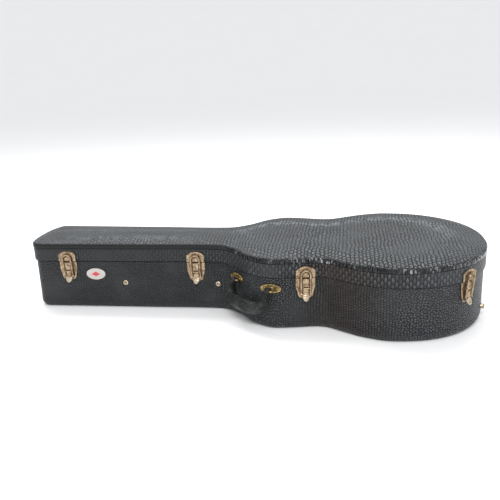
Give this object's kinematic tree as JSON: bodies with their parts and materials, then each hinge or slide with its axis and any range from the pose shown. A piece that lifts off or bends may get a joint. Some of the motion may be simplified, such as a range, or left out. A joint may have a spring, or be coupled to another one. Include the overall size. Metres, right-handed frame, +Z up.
{
  "type": "guitar case",
  "caption": "Hard-shell guitar case with an arched lid on a waisted outline, draw latches, a swinging grip and a plush-lined tray.",
  "frame": {"origin": "on the floor under the middle of the case's length, on its centre line", "axes": "+X towards the tail (lower bout) end, +Y towards the hinge side, so the latches and grip face -Y, +Z up"},
  "size_m": [1.092, 0.4756, 0.1776],
  "materials": {
    "vinyl": "embossed satin",
    "gloss_edge": "gloss",
    "plush": "matte plush",
    "ply": "raw",
    "ribbon": "matte",
    "antique_brass": "satin",
    "grip_black": "satin",
    "badge_white": "satin",
    "badge_red": "gloss"
  },
  "bodies": {
    "tray": {"base_side_wall": "vinyl", "base_bottom_panel": "vinyl", "base_floor_pad": "plush", "base_side_pad": "plush", "base_valance": "plush", "neck_cradle": "plush", "compartment_end_panel": "plush", "compartment_front_panel": "ply", "compartment_back_panel": "ply", "compartment_hinge_rod": "antique_brass", "latch_base_plate_1": "antique_brass", "latch_base_plate_2": "antique_brass", "latch_base_plate_3": "antique_brass", "latch_base_plate_4": "antique_brass", "handle_plate_left": "antique_brass", "handle_staple_left": "antique_brass", "handle_plate_right": "antique_brass", "handle_staple_right": "antique_brass", "hinge_base_leaf_1": "antique_brass", "hinge_base_leaf_2": "antique_brass", "hinge_base_leaf_3": "antique_brass", "stud_front_1": "antique_brass", "stud_back_1": "antique_brass", "stud_front_2": "antique_brass", "stud_back_2": "antique_brass", "tail_bumper_front": "antique_brass", "tail_bumper_back": "antique_brass", "badge_plate": "badge_white", "badge_emblem": "badge_red"},
    "lid": {"lid_side_wall": "vinyl", "lid_edge_bead": "gloss_edge", "lid_top_panel": "vinyl", "lid_side_lining": "plush", "lid_ceiling_pad": "plush", "latch_keeper_1": "antique_brass", "latch_keeper_2": "antique_brass", "latch_keeper_3": "antique_brass", "latch_keeper_4": "antique_brass", "hinge_lid_leaf_1": "antique_brass", "hinge_lid_leaf_2": "antique_brass", "hinge_lid_leaf_3": "antique_brass"},
    "latch_lever_1_body": {"latch_lever_1": "antique_brass"},
    "latch_hasp_1_body": {"latch_hasp_1": "antique_brass"},
    "latch_lever_2_body": {"latch_lever_2": "antique_brass"},
    "latch_hasp_2_body": {"latch_hasp_2": "antique_brass"},
    "latch_lever_3_body": {"latch_lever_3": "antique_brass"},
    "latch_hasp_3_body": {"latch_hasp_3": "antique_brass"},
    "latch_lever_4_body": {"latch_lever_4": "antique_brass"},
    "latch_hasp_4_body": {"latch_hasp_4": "antique_brass"},
    "handle": {"handle_grip": "grip_black"},
    "compartment_lid_body": {"compartment_lid": "plush", "compartment_pull_tab": "ribbon"}
  },
  "joints": [
    {"name": "lid_hinge", "type": "hinge", "parent": "tray", "child": "lid", "pos_m": [0.06996, 0.19341, 0.122], "axis": [-0.9851, -0.1718, 0], "range_deg": [0, 100]},
    {"name": "latch_lever_1_pivot", "type": "hinge", "parent": "tray", "child": "latch_lever_1_body", "pos_m": [-0.43798, -0.08603, 0.0965], "axis": [-0.9997, -0.0257, 0], "range_deg": [0, 110]},
    {"name": "latch_hasp_1_pivot", "type": "hinge", "parent": "latch_lever_1_body", "child": "latch_hasp_1_body", "pos_m": [-0.43797, -0.08643, 0.084], "axis": [-0.9997, -0.0257, 0], "range_deg": [-110, 0]},
    {"name": "latch_lever_2_pivot", "type": "hinge", "parent": "tray", "child": "latch_lever_2_body", "pos_m": [-0.11797, -0.07851, 0.0965], "axis": [-0.9999, -0.0163, 0], "range_deg": [0, 110]},
    {"name": "latch_hasp_2_pivot", "type": "hinge", "parent": "latch_lever_2_body", "child": "latch_hasp_2_body", "pos_m": [-0.11796, -0.07891, 0.084], "axis": [-0.9999, -0.0163, 0], "range_deg": [-110, 0]},
    {"name": "latch_lever_3_pivot", "type": "hinge", "parent": "tray", "child": "latch_lever_3_body", "pos_m": [0.1505, -0.17382, 0.0965], "axis": [-0.9722, -0.2341, 0], "range_deg": [0, 110]},
    {"name": "latch_hasp_3_pivot", "type": "hinge", "parent": "latch_lever_3_body", "child": "latch_hasp_3_body", "pos_m": [0.15059, -0.17421, 0.084], "axis": [-0.9722, -0.2341, 0], "range_deg": [-110, 0]},
    {"name": "latch_lever_4_pivot", "type": "hinge", "parent": "tray", "child": "latch_lever_4_body", "pos_m": [0.49007, -0.17114, 0.0965], "axis": [-0.6925, -0.7214, 0], "range_deg": [0, 110]},
    {"name": "latch_hasp_4_pivot", "type": "hinge", "parent": "latch_lever_4_body", "child": "latch_hasp_4_body", "pos_m": [0.49036, -0.17142, 0.084], "axis": [-0.6925, -0.7214, 0], "range_deg": [-110, 0]},
    {"name": "handle_swing", "type": "hinge", "parent": "tray", "child": "handle", "pos_m": [0.0237, -0.1549, 0.0955], "axis": [-0.7804, 0.6252, 0], "range_deg": [0, 100]},
    {"name": "compartment_lid_hinge", "type": "hinge", "parent": "tray", "child": "compartment_lid_body", "pos_m": [-0.1715, 0.0502, 0.0576], "axis": [-1, 0, 0], "range_deg": [0, 88]}
  ],
  "couplings": [
    {"joint": "latch_hasp_1_pivot", "follows": "latch_lever_1_pivot", "ratio": -1},
    {"joint": "latch_hasp_2_pivot", "follows": "latch_lever_2_pivot", "ratio": -1},
    {"joint": "latch_hasp_3_pivot", "follows": "latch_lever_3_pivot", "ratio": -1},
    {"joint": "latch_hasp_4_pivot", "follows": "latch_lever_4_pivot", "ratio": -1}
  ]
}
